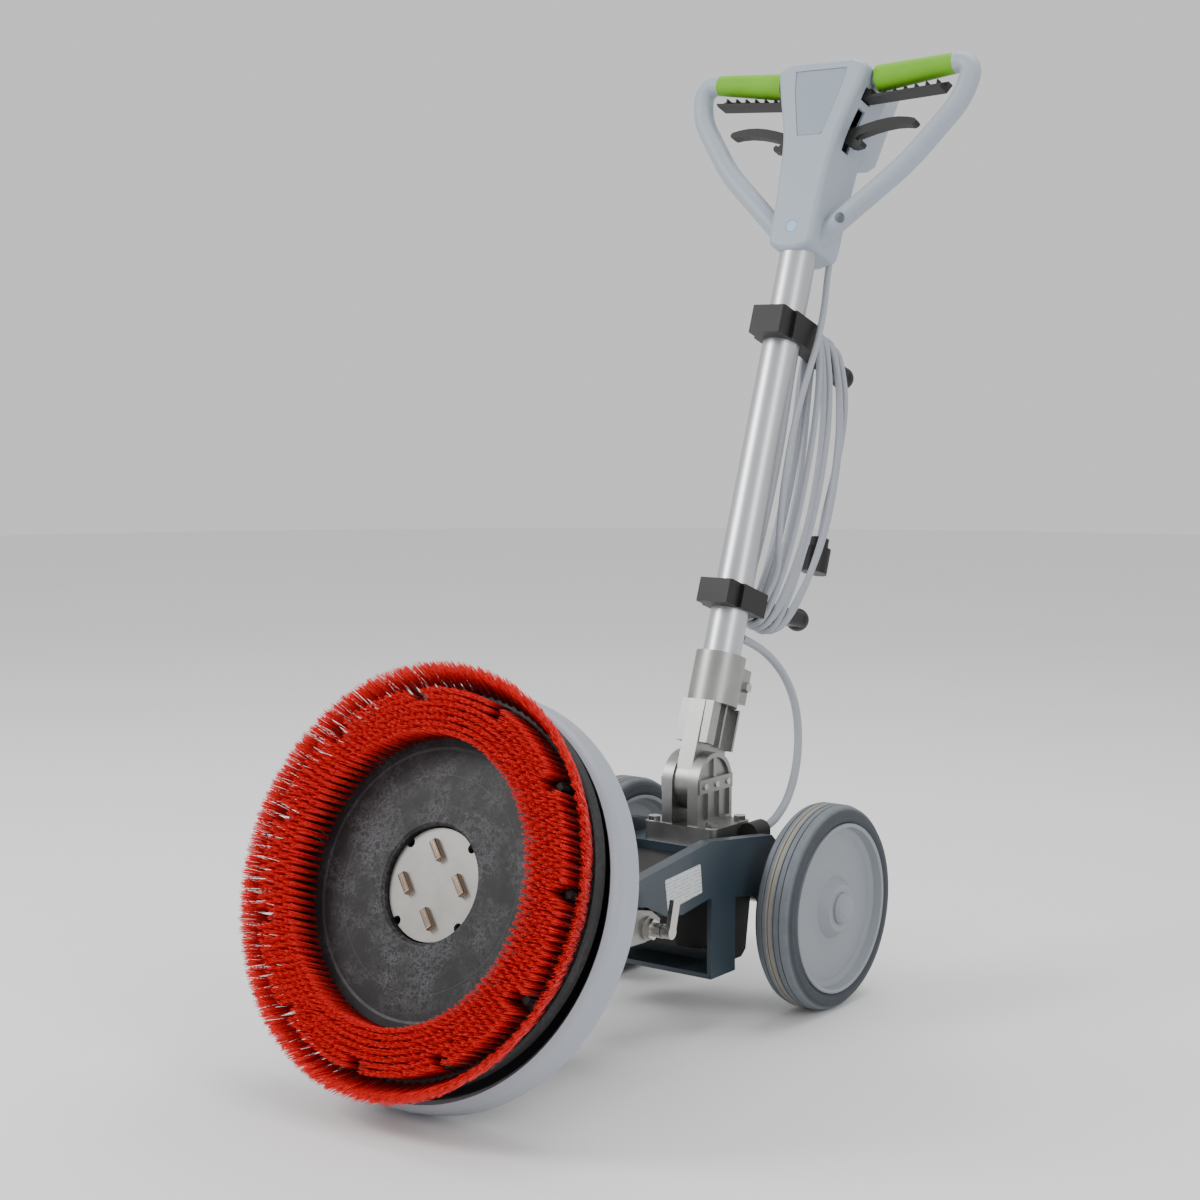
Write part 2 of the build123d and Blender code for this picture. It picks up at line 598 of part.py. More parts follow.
def handle_outline(inset=0.0):
    """The housing's face in the XZ plane: narrow at its foot and flared towards its top."""
    right = [(x - inset, z) for x, z in HOUSING_SIDE]
    side = Spline(*[(x, 0, z) for x, z in right])
    other = Spline(*[(-x, 0, z) for x, z in reversed(right)])
    (foot_x, foot_z), (crown_x, crown_z) = right[0], right[-1]
    top = ThreePointArc((crown_x, 0, crown_z), (0, 0, HOUSING_CROWN - inset), (-crown_x, 0, crown_z))
    bottom = ThreePointArc((-foot_x, 0, foot_z), (0, 0, HOUSING_FOOT), (foot_x, 0, foot_z))
    return make_face(side + top + other + bottom)


def housing_slice(y0, y1, round_r):
    """The housing's outline between two depths, with the corners of its foot and crown rounded."""
    shell = extrude(Pos(0, y0, 0) * handle_outline(), amount=y1 - y0, dir=(0, 1, 0))
    return fillet(shell.edges().filter_by(Axis.Y), round_r) & side_limits()


def housing_hollow(y0, y1):
    """The inside of the housing, above its solid foot."""
    wall = 4.0
    inner = extrude(Pos(0, y0, 0) * handle_outline(wall), amount=y1 - y0, dir=(0, 1, 0)) & side_limits(-wall)
    return inner & block(-90, 90, -60, 130, SOLID_FOOT, 1100)


FACE_Y, SPLIT_Y, BACK_Y = -30.0, 14.0, 44.0
RELIEF_X, RELIEF_Y = 18.0, 50.0
RELIEF_FOOT, RELIEF_TOP = 770.0, 880.0
RELIEF_R = 7.5
CABLE_TOP = 796.0           # how far up the mains cable reaches into its bend protector


def side_limits(z_extra=0.0):
    """The housing seen from the side: its crown rises towards the back."""
    side = [(-40, 700), (70, 700), (58, 1024 + z_extra), (10, 1012 + z_extra), (-40, 986 + z_extra)]
    return slab_x(side, -90, 90)


def handle_cut():
    """Room in the housing for the tube, the handle's arms, the two switch bails and the release bar."""
    cut = rod_z(TUBE_R, 690, TUBE_TOP) + whole_arm(1) + whole_arm(-1)
    cut += block(-90, 90, -11.5, 13.5, 939.5, 957.5)
    cut += block(-90, 90, -8, 10, 869, 930)
    return cut


PANEL = [(-40, 980), (40, 980), (36, 950), (19, 884), (-19, 884), (-36, 950)]
INLAY_DEPTH = 1.6
BADGE_R = 9.0
BADGE_Z = 753.0


def front_housing():
    """The front half of the handle's housing, with a shallow tapered recess in its face."""
    shell = housing_slice(FACE_Y, SPLIT_Y, 11)
    front_edges = shell.edges().filter_by(lambda e: abs(e.center().Y - FACE_Y) < 0.5)
    shell = fillet(front_edges, 8)
    shell -= housing_hollow(FACE_Y + 4, SPLIT_Y)
    shell -= handle_cut()
    shell -= slab_y(PANEL, FACE_Y - 1, FACE_Y + INLAY_DEPTH)
    shell -= rod_y(BADGE_R, FACE_Y - 1, FACE_Y + INLAY_DEPTH, 0, BADGE_Z)
    return in_mast(shell)


def rear_housing():
    """The back half of the housing, with the deeper box that covers the switches."""
    shell = housing_slice(SPLIT_Y, BACK_Y, 11)
    shell -= housing_hollow(SPLIT_Y, BACK_Y - 4)
    box = slab_x([(40, 872), (76, 874), (94, 890), (126, 1008), (112, 1014), (40, 1008)], -36, 36)
    box -= slab_x([(36, 876), (75, 878), (90, 892), (121, 1004), (36, 1004)], -32.5, 32.5)
    shell -= block(-32.5, 32.5, BACK_Y - 5, BACK_Y + 1, 876, 1004)
    shell += box
    shell -= handle_cut()
    shell -= rod_z(RELIEF_R + GAP, RELIEF_FOOT - 60, RELIEF_TOP - 12, RELIEF_X, RELIEF_Y)
    shell -= rod_z(RELIEF_R, RELIEF_TOP - 12, RELIEF_TOP, RELIEF_X, RELIEF_Y)
    return in_mast(shell)


LOOP_Y = 3.0                # the handle's arms and grips lie this far behind the tube's middle
GRIP_IN = (73.0, 975.3)     # x and height of the grips' ends
GRIP_OUT = (184.0, 987.5)
GRIP_SLOPE = (GRIP_OUT[1] - GRIP_IN[1]) / (GRIP_OUT[0] - GRIP_IN[0])


def on_grip_line(x):
    """The height of the grips' middle line at a given x."""
    return GRIP_IN[1] + GRIP_SLOPE * (x - GRIP_IN[0])


def grip_line_rod(radius_in, radius_out, x_in, x_out, sign):
    """A straight or tapered bar along the grips' middle line."""
    start = Vector(sign * x_in, LOOP_Y, on_grip_line(x_in))
    end = Vector(sign * x_out, LOOP_Y, on_grip_line(x_out))
    line = end - start
    frame = Plane(origin=start + line * 0.5, z_dir=line)
    if radius_in == radius_out:
        return frame.location * Cylinder(radius_in, line.length)
    return frame.location * Cone(radius_in, radius_out, line.length)


def whole_arm(sign):
    """One side of the handle with its full ends, which reach into the housing."""
    corner_x = 211.0
    path_points = [(20, 742), (140, 850), (206, 938), (corner_x, on_grip_line(corner_x)), GRIP_OUT]
    path = FilletPolyline(*[(sign * x, LOOP_Y, z) for x, z in path_points], radius=[300, 100, 18])
    arm = sweep(Plane(origin=path @ 0, z_dir=path % 0) * Circle(ARM_TUBE_R), path=path)
    return arm + grip_line_rod(GRIP_CORE_R, GRIP_CORE_R, 50, GRIP_OUT[0] + 2, sign)


def handle_arm(sign):
    """One side of the handle: a round arm from the housing's foot, up and round to the core of the grip."""
    arm = whole_arm(sign)
    if sign > 0:
        arm -= rod_y(7, -20, 30, 59, 771)
    arm -= block(-32, 32, -40, 60, 700, 800)
    return in_mast(arm)


def grip(sign):
    """A soft tapered grip, thicker towards the housing."""
    cone = grip_line_rod(18.5, ARM_TUBE_R, GRIP_IN[0], GRIP_OUT[0], sign)
    cone -= grip_line_rod(GRIP_CORE_R, GRIP_CORE_R, GRIP_IN[0] - 2, GRIP_OUT[0] + 2, sign)
    return in_mast(cone)


BAIL_PIN_X, BAIL_PIN_Z = 46.0, 948.0


def bail(sign):
    """A switch bail under a grip, on a pin inside the housing."""
    outline = [(54, 942), (54, 953), (66, 954.5), (176, 964.5), (181, 960), (174, 949), (66, 942)]
    bar = slab_y([(sign * x, z) for x, z in outline], -10, 12)
    bar += rod_y(7, -10, 12, sign * BAIL_PIN_X, BAIL_PIN_Z)
    bar += block(sign * BAIL_PIN_X, sign * 56, -10, 12, 944, 952)
    channel = [(72, 946.5), (72, 960), (190, 973), (190, 955)]
    hollow = slab_y([(sign * x, z) for x, z in channel], -11, 8)
    for x in range(84, 172, 16):
        hollow -= block(sign * x, sign * (x + 2), -3, 8, 930, 980)
    bar -= hollow
    bar -= rod_y(BAIL_PIN_R + FIT, -12, 14, sign * BAIL_PIN_X, BAIL_PIN_Z)
    return in_mast(bar)


def bail_pins():
    """The two fixed pins that the bails turn on."""
    return [in_mast(rod_y(BAIL_PIN_R, -26, 20, sign * BAIL_PIN_X, BAIL_PIN_Z)) for sign in (-1, 1)]


def release_bar():
    """The curved bar through the housing that is lifted to free the mast's pivot, and the rod it pulls."""
    under = [(0, 884), (42, 882), (50, 876), (58, 874), (68, 876), (70, 881), (66, 885), (63, 882), (58, 886),
             (62, 890), (72, 893), (84, 896.5), (98, 899.5), (114, 901.5), (128, 901.5), (140, 900)]
    over = [(144, 902), (145.5, 905.5), (143, 909), (132, 911.5), (118, 913), (102, 912.5), (86, 910),
            (70, 906), (54, 901), (42, 898), (0, 898)]
    right = under + over
    bar = slab_y(right + [(-x, z) for x, z in reversed(right[1:-1])], -6, 8)
    bar += rod_z(3, 300, 884, 0, 1)
    return in_mast(bar)


def switch_block():
    """The microswitch block between the two bails."""
    return in_mast(block(-24, 24, 24, 58, 936, 968))


def strain_relief():
    """The tapered bend protector where the mains cable leaves the housing, pointing down the mast."""
    taper = 40.0
    cone = Pos(RELIEF_X, RELIEF_Y, RELIEF_FOOT + taper / 2) * Cone(6, RELIEF_R, taper)
    cone += rod_z(RELIEF_R, RELIEF_FOOT + taper, RELIEF_TOP, RELIEF_X, RELIEF_Y)
    cone -= rod_z(MAINS_D / 2, RELIEF_FOOT - 1, CABLE_TOP, RELIEF_X, RELIEF_Y)
    return in_mast(cone)


# ---------------------------------------------------------------- cords
def rounded_radii(points):
    """The largest arc that each corner's two runs leave room for."""
    radii = []
    for before, here, after in zip(points, points[1:], points[2:]):
        a, b = Vector(*here) - Vector(*before), Vector(*after) - Vector(*here)
        half_turn = math.radians(a.get_angle(b)) / 2
        radii.append(0.45 * min(a.length, b.length) / math.tan(half_turn))
    return radii


def cord_tube(name, points, diameter):
    """A tube along straight runs joined by tangent arcs."""
    radii = rounded_radii(points)
    path = FilletPolyline(*points, radius=radii)
    tube = sweep(Plane(origin=path @ 0, z_dir=path % 0) * Circle(diameter / 2), path=path)
    ratio = tube.volume / (math.pi * diameter ** 2 / 4 * path.length)
    print(name, "length", round(path.length), "volume ratio", round(ratio, 4))
    print("  radii of the bends", [round(r) for r in radii])
    return tube


MAINS_ROUTE = [(RELIEF_X, RELIEF_Y, CABLE_TOP), (18, 51, 742), (23, 47, 700), (33, 37, 662),
               (40, 26, 612), (40, 16, 556), (37, 12, 498), (36, 13, 438), (35, 20, 380), (34, 32, 330),
               (33, 48, 290)]

MOTOR_LEAD_ROUTE = [(0, 34, 200), (4, 62, 199), (14, 96, 190), (26, 128, 168), (36, 150, 134), (44, 158, 92),
                    (52, 152, 50), (60, 132, 8), (67, 100, -22)]


def mains_cable():
    """The mains cable from the handle down beside the tube to the winding."""
    return in_mast(cord_tube("mains_cable", MAINS_ROUTE, MAINS_D))


def to_machine(point):
    """A point of the mast's frame, in the wheel axle's frame."""
    x, y, z = point
    back = PIVOT_Y + y * math.cos(rake) + z * math.sin(rake)
    return (x, back, PIVOT_Z - y * math.sin(rake) + z * math.cos(rake))


def motor_lead():
    """The motor's lead, in a free loop from the tube to the gland on the chassis."""
    x, z = GLAND
    route = [to_machine(p) for p in MOTOR_LEAD_ROUTE] + [(x - 1, 6, z + 3), (x, -15, z), (x, GLAND_STOP_Y, z)]
    return in_machine(cord_tube("motor_lead", route, MOTOR_LEAD_D))


def cable_coil():
    """The mains cable wound in long loops that hang from the upper hook and pass under the lower one."""
    top, bottom, half, wall = 652.0, 210.0, 40.0, 18.0

    def loop(radius):
        length = top - bottom - 2 * half + 2 * radius
        face = SlotOverall(length, 2 * radius, rotation=90)
        return extrude(face, amount=200)

    ring = loop(half) - loop(half - wall)
    ring = Pos(0, 0, (top + bottom) / 2) * Rot(-90, 0, 0) * ring
    side = [(40, 660), (118, 660), (150, 560), (172, 440), (168, 300), (116, 180), (40, 180), (62, 300),
            (58, 500)]
    return in_mast(ring & slab_x(side, -60, 60))


def plug():
    """The mains plug, tucked against the winding on the side away from the tube."""
    body = rod_z(18, 330, 366, 0, 190) + rod_z(13, 366, 380, 0, 190)
    return in_mast(body)


def mast():
    save("socket_casting", socket_casting())
    save("clamp_bolt", clamp_bolt())
    save("mast_tube", mast_tube())
    save("lead_grommet", lead_grommet())
    save("upper_cable_hook", cable_hook(UPPER_HOOK, -8, 38))
    save("lower_cable_hook", cable_hook(LOWER_HOOK, 14, 32))
    save("front_housing", front_housing())
    save("rear_housing", rear_housing())
    save("handle_arms", group(handle_arm(sign) for sign in (1, -1)))
    save("grips", group(grip(sign) for sign in (1, -1)))
    for side, sign in (("right", 1), ("left", -1)):
        save("bail_" + side, bail(sign))
    save("bail_pins", group(bail_pins()))
    save("release_bar", release_bar())
    save("switch_block", switch_block())
    save("strain_relief", strain_relief())


def cords():
    save("mains_cable", mains_cable())
    save("motor_lead", motor_lead())
    save("cable_coil", cable_coil())
    save("mains_plug", plug())


os.makedirs("parts", exist_ok=True)
wheels()
axle()
chassis()
head()
brush_drive()
mast()
cords()
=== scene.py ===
# %% [markdown]
# # A single-disc floor scrubber
# The machine's frame, with every part that moves or fits, is loaded as it is. This lesson gives it its
# looks: the finishes of its castings, plastics and rubber, thousands of bristles, and the cable wound on
# its mast.

# %% Load the frame
import json
import math

import bmesh
import bpy
import numpy as np
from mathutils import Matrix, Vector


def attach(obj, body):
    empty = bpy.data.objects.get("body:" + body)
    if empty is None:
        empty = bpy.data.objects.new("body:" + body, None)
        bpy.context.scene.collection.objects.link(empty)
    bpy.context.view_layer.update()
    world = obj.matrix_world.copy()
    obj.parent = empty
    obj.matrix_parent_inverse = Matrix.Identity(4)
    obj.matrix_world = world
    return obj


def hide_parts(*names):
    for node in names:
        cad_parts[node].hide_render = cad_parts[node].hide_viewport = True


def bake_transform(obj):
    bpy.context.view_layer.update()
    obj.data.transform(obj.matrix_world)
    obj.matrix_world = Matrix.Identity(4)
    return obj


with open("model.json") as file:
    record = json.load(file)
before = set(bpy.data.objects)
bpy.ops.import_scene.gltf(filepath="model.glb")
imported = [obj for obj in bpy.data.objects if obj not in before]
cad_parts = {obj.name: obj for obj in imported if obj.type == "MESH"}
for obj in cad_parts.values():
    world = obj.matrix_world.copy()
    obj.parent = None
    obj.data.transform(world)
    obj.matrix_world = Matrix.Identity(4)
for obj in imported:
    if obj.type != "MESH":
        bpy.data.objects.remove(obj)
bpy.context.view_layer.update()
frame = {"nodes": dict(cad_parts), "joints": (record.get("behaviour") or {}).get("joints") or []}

# %% [markdown]
# ## Places on the machine
# Three directions rule this machine: the brush looks forward and up, the mast leans back, and the wheels
# turn about X. Each gets a small frame of its own, taken from the joints, so a shape can be worked out
# where it is simple and then carried to where it belongs.

# %% Frames of the brush, the mast and the wheels
joints = {joint["name"]: joint for joint in frame["joints"]}
RIGHT = np.array([1.0, 0.0, 0.0])


class Place:
    """An origin with three directions. at() turns local points, in metres, into points of the machine."""

    def __init__(self, origin, up):
        self.origin = np.array(origin, float)
        self.z = np.array(up, float) / np.linalg.norm(up)
        self.y = np.cross(self.z, RIGHT)

    def at(self, points):
        points = np.asarray(points, float)
        return self.origin + points[..., :1] * RIGHT + points[..., 1:2] * self.y + points[..., 2:] * self.z


brush_place = Place(joints["brush_spin"]["pos_m"], joints["brush_spin"]["axis"])
mast_place = Place(joints["mast_tilt"]["pos_m"], joints["release_lift"]["axis"])
wheel_centre = np.array(joints["wheel_right_spin"]["pos_m"])
BRUSH_TILT = -math.atan2(-brush_place.z[1], brush_place.z[2])
mm = 0.001
print("mast leans back", round(math.degrees(math.atan2(mast_place.z[1], mast_place.z[2])), 1), "degrees")

# %% [markdown]
# ## Camera, floor and light
# A long lens from the front and the machine's right, a little above its middle. The floor is one pale disc.
# Light is a bright pale sky with two large soft panels, as in a product studio, so metal shows broad clean
# reflections.

# %% Camera
camera = bpy.data.objects.new("camera", bpy.data.cameras.new("camera"))
camera.data.lens = 63.0
camera.data.sensor_width = 36.0
camera.location = (1.4858, -2.1224, 0.7917)
camera.rotation_euler = (math.radians(90 - 5.88), 0.0, math.radians(36.43))
bpy.context.scene.collection.objects.link(camera)
bpy.context.scene.camera = camera

# %% Light panels and sky


def light_panel(name, place, towards, size, watts):
    """A soft rectangular lamp at place that faces the point towards."""
    data = bpy.data.lights.new(name, "AREA")
    data.shape = "RECTANGLE"
    data.size, data.size_y = size
    data.energy = watts
    lamp = bpy.data.objects.new(name, data)
    direction = Vector(towards) - Vector(place)
    lamp.location = place
    lamp.rotation_euler = direction.to_track_quat("-Z", "Y").to_euler()
    bpy.context.scene.collection.objects.link(lamp)


middle = (0.0, 0.0, 0.55)
light_panel("key_panel", (-2.1, -2.2, 2.4), middle, (1.3, 1.3), 74)
light_panel("fill_panel", (2.6, -1.0, 1.6), middle, (0.9, 2.0), 24)
light_panel("top_panel", (0.2, 0.9, 3.0), middle, (2.2, 1.6), 40)

sky = bpy.data.worlds.new("studio")
sky.use_nodes = True
sky.node_tree.nodes["Background"].inputs["Color"].default_value = (1.0, 1.0, 1.0, 1.0)
sky.node_tree.nodes["Background"].inputs["Strength"].default_value = 0.8
bpy.context.scene.world = sky

# %% [markdown]
# ## Meshes from arrays
# A surface is a function of two parameters, so it is a grid of points. Three small functions cover the new
# pieces: one makes a mesh from points and faces, one joins a grid's points with quads, and one carries a
# circle along a path.

# %% Mesh helpers


def new_piece(name, vertices, faces, smooth=True):
    """A mesh object at the world's origin, from points and faces."""
    mesh = bpy.data.meshes.new(name)
    corners = [list(map(int, face)) for face in faces]
    mesh.from_pydata(np.asarray(vertices).reshape(-1, 3).tolist(), [], corners)
    mesh.polygons.foreach_set("use_smooth", np.full(len(mesh.polygons), smooth))
    mesh.update()
    piece = bpy.data.objects.new(name, mesh)
    bpy.context.scene.collection.objects.link(piece)
    return piece


def grid_faces(rows, columns, wrap_rows=False, wrap_columns=False):
    """Quads between neighbouring points of a rows x columns grid, which may close on itself either way."""
    i, j = np.meshgrid(np.arange(rows - (not wrap_rows)), np.arange(columns - (not wrap_columns)),
                       indexing="ij")
    up, along = (i + 1) % rows, (j + 1) % columns
    corners = [i * columns + j, i * columns + along, up * columns + along, up * columns + j]
    return np.stack(corners, -1).reshape(-1, 4)


def tube_along(path, radius, sides=20):
    """A round tube round a path. Each ring is turned from the last by as little as the path turns."""
    path = np.asarray(path, float)
    tangent = np.gradient(path, axis=0)
    tangent /= np.linalg.norm(tangent, axis=1, keepdims=True)
    normal = np.cross(tangent[0], [0.3, 0.5, 0.8])
    sideways = []
    for direction in tangent:
        normal = normal - direction * (normal @ direction)
        normal /= np.linalg.norm(normal)
        sideways.append(normal.copy())
    sideways = np.array(sideways)
    other = np.cross(tangent, sideways)
    t = np.linspace(0, 2 * np.pi, sides, endpoint=False)[None, :, None]
    rings = path[:, None] + radius * (np.cos(t) * sideways[:, None] + np.sin(t) * other[:, None])
    faces = [list(face) for face in grid_faces(len(path), sides, False, True)]
    faces += [list(range(sides))[::-1], list(range((len(path) - 1) * sides, len(path) * sides))]
    return rings, faces


def floor_disc():
    """A pale round floor just under the wheels."""
    t = np.linspace(0, 2 * np.pi, 64, endpoint=False)
    rim = np.stack([9 * np.cos(t), 9 * np.sin(t), 0 * t - 0.0005], -1)
    piece = new_piece("floor", rim, [range(64)])
    return piece


floor = floor_disc()

# %% [markdown]
# ## Shader maths as Python
# A material is a network of nodes. One small class wraps an output, so a sum of two patterns is written a +
# b, and the other opens a material and adds any node by its type.

# %% The two shader classes


class Wave:
    """A number that changes over a surface. Python's operators add Math nodes to it."""

    def __init__(self, finish, socket):
        self.finish, self.socket = finish, socket

    def math(self, operation, *values):
        node = self.finish.node("ShaderNodeMath", {"operation": operation}, list(values))
        return Wave(self.finish, node.outputs[0])

    def __add__(self, other):
        return self.math("ADD", self, other)

    def __sub__(self, other):
        return self.math("SUBTRACT", self, other)

    def __rsub__(self, other):
        return self.math("SUBTRACT", other, self)

    def __mul__(self, other):
        return self.math("MULTIPLY", self, other)

    def __truediv__(self, other):
        return self.math("DIVIDE", self, other)

    def __pow__(self, power):
        return self.math("POWER", self, power)

    __radd__, __rmul__ = __add__, __mul__

    def over(self, edge, soft=0.02):
        """Rises from 0 to 1 as the number passes an edge."""
        settings = {"interpolation_type": "SMOOTHSTEP"}
        node = self.finish.node("ShaderNodeMapRange", settings, {"Value": self, "From Min": edge - soft,
                                                                 "From Max": edge + soft})
        return Wave(self.finish, node.outputs["Result"])

    def abs(self):
        return self.math("ABSOLUTE", self)

    def fraction(self):
        return self.math("FRACT", self)


class Finish:
    """One material: a Principled shader and the nodes that feed it."""

    def __init__(self, name, roughness=0.5, metallic=0.0, coat=0.0, specular=0.5):
        self.material = bpy.data.materials.new(name)
        self.material.use_nodes = True
        self.tree = self.material.node_tree
        self.shader = self.tree.nodes["Principled BSDF"]
        for socket, value in (("Roughness", roughness), ("Metallic", metallic), ("Coat Weight", coat),
                              ("Specular IOR Level", specular)):
            self.shader.inputs[socket].default_value = value

    def node(self, kind, settings=None, inputs=None):
        """A node of any kind. Settings come first, then its sockets get values or links."""
        node = self.tree.nodes.new(kind)
        for key, value in (settings or {}).items():
            setattr(node, key, value)
        named = inputs.items() if isinstance(inputs, dict) else enumerate(inputs or [])
        for key, value in named:
            self.feed(node.inputs[key], value)
        return node

    def feed(self, socket, value):
        """Links a socket to another one, or sets its number."""
        if isinstance(value, Wave):
            value = value.socket
        if isinstance(value, bpy.types.NodeSocket):
            self.tree.links.new(value, socket)
        else:
            socket.default_value = value

    def spot(self, centre=(0, 0, 0), turn=0.0, scale=(1, 1, 1)):
        """Object coordinates, moved to a centre, turned about X by an angle, then scaled."""
        here = self.node("ShaderNodeTexCoord").outputs["Object"]
        moved = self.node("ShaderNodeVectorMath", {"operation": "SUBTRACT"}, [here, tuple(centre)]).outputs[0]
        turned = self.node("ShaderNodeMapping", None,
                           {"Vector": moved, "Rotation": (turn, 0.0, 0.0)}).outputs[0]
        return self.node("ShaderNodeVectorMath", {"operation": "MULTIPLY"}, [turned, tuple(scale)]).outputs[0]

    def parts(self, vector):
        """The three numbers of a vector."""
        node = self.node("ShaderNodeSeparateXYZ", None, [vector])
        return [Wave(self, output) for output in node.outputs]

    def noise(self, scale, detail=3.0, vector=None, roughness=0.55):
        """Cloudy noise from 0 to 1, scale waves to the metre."""
        node = self.node("ShaderNodeTexNoise", None, {"Vector": vector or self.spot(), "Scale": scale,
                                                      "Detail": detail, "Roughness": roughness})
        return Wave(self, node.outputs[0])

    def cells(self, scale, vector=None):
        """The distance to the nearest point of a scatter of points."""
        node = self.node("ShaderNodeTexVoronoi", None, {"Vector": vector or self.spot(), "Scale": scale})
        return Wave(self, node.outputs["Distance"])

    def mix(self, factor, first, second):
        """A colour between two colours."""
        node = self.node("ShaderNodeMix", {"data_type": "RGBA"})
        for index, value in ((0, factor), (6, first), (7, second)):
            if isinstance(value, tuple) and len(value) == 3:
                value = (*value, 1.0)
            self.feed(node.inputs[index], value)
        return node.outputs[2]

    def colour(self, value):
        self.feed(self.shader.inputs["Base Color"], (*value, 1.0) if isinstance(value, tuple) else value)
        return self

    def rough(self, value):
        self.feed(self.shader.inputs["Roughness"], value)
        return self

    def bump(self, height, depth_mm, strength=1.0):
        """Relief: height from 0 to 1 stands for a depth in millimetres."""
        node = self.node("ShaderNodeBump", None, {"Height": height, "Strength": strength,
                                                  "Distance": depth_mm * mm})
        self.feed(self.shader.inputs["Normal"], node.outputs[0])
        return self


def wear(piece, finish):
    """Gives a whole piece one material."""
    piece.data.materials.clear()
    piece.data.materials.append(finish.material)


def wear_nodes(finish, *names):
    for name in names:
        wear(frame["nodes"][name], finish)


def tone(red, green, blue):
    """A display colour, 0 to 255, as the linear colour that a shader takes."""
    scaled = np.array([red, green, blue]) / 255
    linear = np.where(scaled <= 0.04045, scaled / 12.92, ((scaled + 0.055) / 1.055) ** 2.4)
    return tuple(float(x) for x in linear)


# %% [markdown]
# ## Plastics
# Moulded plastic is never quite smooth: the mould is spark-eroded, so the skin has a fine grain that
# spreads reflections. A grain of cells at under a millimetre gives that, and slow noise varies the gloss
# where hands rub it.

# %% Grained plastics


def moulded(name, colour, roughness=0.48, grain=900.0, depth=0.05, variation=0.06, specular=0.4):
    """A moulded plastic with a fine grain, a slow change of tone, and slightly uneven gloss."""
    finish = Finish(name, roughness, specular=specular)
    slow = finish.noise(7.0, 4.0)
    fine = finish.noise(grain, 2.0)
    dark = tuple(c * (1 - variation) for c in colour)
    light = tuple(min(1.0, c * (1 + variation)) for c in colour)
    finish.colour(finish.mix(slow, dark, light))
    finish.rough(roughness - 0.06 + 0.12 * slow)
    return finish.bump(fine, depth, 0.5)


HANDLE_GREY = tone(158, 168, 179)
handle_plastic = moulded("handle_plastic", HANDLE_GREY, 0.42, 1100.0, 0.04, 0.03)
black_plastic = moulded("black_plastic", tone(24, 23, 23), 0.5, 1000.0, 0.06, 0.2, 0.4)
box_plastic = moulded("box_plastic", tone(24, 23, 22), 0.55, 700.0, 0.08, 0.3)
rim_plastic = moulded("rim_plastic", tone(140, 145, 151), 0.5, 800.0, 0.06, 0.04)
ring_plastic = moulded("ring_plastic", tone(157, 162, 171), 0.36, 1500.0, 0.02, 0.02)
cable_rubber = moulded("cable_sheath", tone(158, 162, 170), 0.45, 1300.0, 0.03, 0.05)

wear_nodes(handle_plastic, "front_housing", "rear_housing", "handle_arms")
wear_nodes(black_plastic, "upper_cable_hook", "lower_cable_hook", "bail_left", "bail_right", "release_bar",
           "switch_block", "strain_relief", "lead_grommet", "lead_gland", "mains_plug", "cooling_fan",
           "axle_spacers", "motor_cowl")
wear_nodes(box_plastic, "electrics_box")
wear_nodes(rim_plastic, "rim_right", "rim_left", "wheel_cap_right", "wheel_cap_left")
wear_nodes(ring_plastic, "bumper_ring")


def grip_rubber():
    """Soft green rubber: a dull skin with small dimples in lines round the grip."""
    finish = Finish("grip_rubber", 0.62, specular=0.35)
    slow = finish.noise(16.0, 3.0)
    finish.colour(finish.mix(slow, tone(92, 158, 18), tone(120, 184, 30)))
    dimples = finish.cells(620.0)
    finish.rough(0.52 + 0.16 * slow)
    return finish.bump(dimples, 0.18, 0.6)


wear_nodes(grip_rubber(), "grips")

# %% [markdown]
# ## Paint and metal
# The chassis is folded steel in slate-blue enamel, which is smooth and a little glossy, with a faint
# orange-peel. The mast is anodised tube, drawn lengthwise, so its fine lines run along it. The sockets are
# gravity castings: bright, with a sandy skin and darker hollows. Zinc-plated fasteners are brighter still.

# %% Enamel and castings


def enamel(name, colour, gloss=0.34):
    """Sprayed enamel: dark paint with an orange-peel skin and dust-dulled patches."""
    finish = Finish(name, gloss, coat=0.12)
    slow, peel = finish.noise(9.0, 4.0), finish.noise(240.0, 2.0)
    finish.colour(finish.mix(slow, tuple(c * 0.88 for c in colour), tuple(c * 1.15 for c in colour)))
    finish.rough(gloss - 0.05 + 0.14 * slow)
    return finish.bump(peel, 0.04, 0.4)


def bare_metal(name, colour, roughness, grain=520.0, depth=0.08, stain=0.16, detail=4.0):
    """Bare metal: a sandy or scratched skin with stains that change its colour and its gloss together."""
    finish = Finish(name, roughness, metallic=1.0)
    slow, sand = finish.noise(26.0, 5.0), finish.noise(grain, detail)
    stained, clean = tuple(c * (1 - stain) for c in colour), tuple(min(1, c * 1.08) for c in colour)
    finish.colour(finish.mix(slow, stained, clean))
    finish.rough(roughness - 0.08 + 0.2 * slow)
    return finish.bump(sand, depth, 0.5)


def drawn_tube():
    """Satin anodised tube with very fine lines along the mast."""
    lean = math.atan2(mast_place.z[1], mast_place.z[2])
    finish = Finish("anodised_tube", 0.38, metallic=1.0)
    lines = finish.noise(1.0, 3.0, finish.spot(mast_place.origin, lean, (900.0, 900.0, 8.0)))
    slow = finish.noise(1.0, 3.0, finish.spot(mast_place.origin, lean, (14.0, 14.0, 5.0)))
    finish.colour(finish.mix(slow, (0.50, 0.51, 0.53), (0.64, 0.65, 0.67)))
    finish.rough(0.33 + 0.06 * slow + 0.05 * lines)
    return finish.bump(lines, 0.02, 0.4)


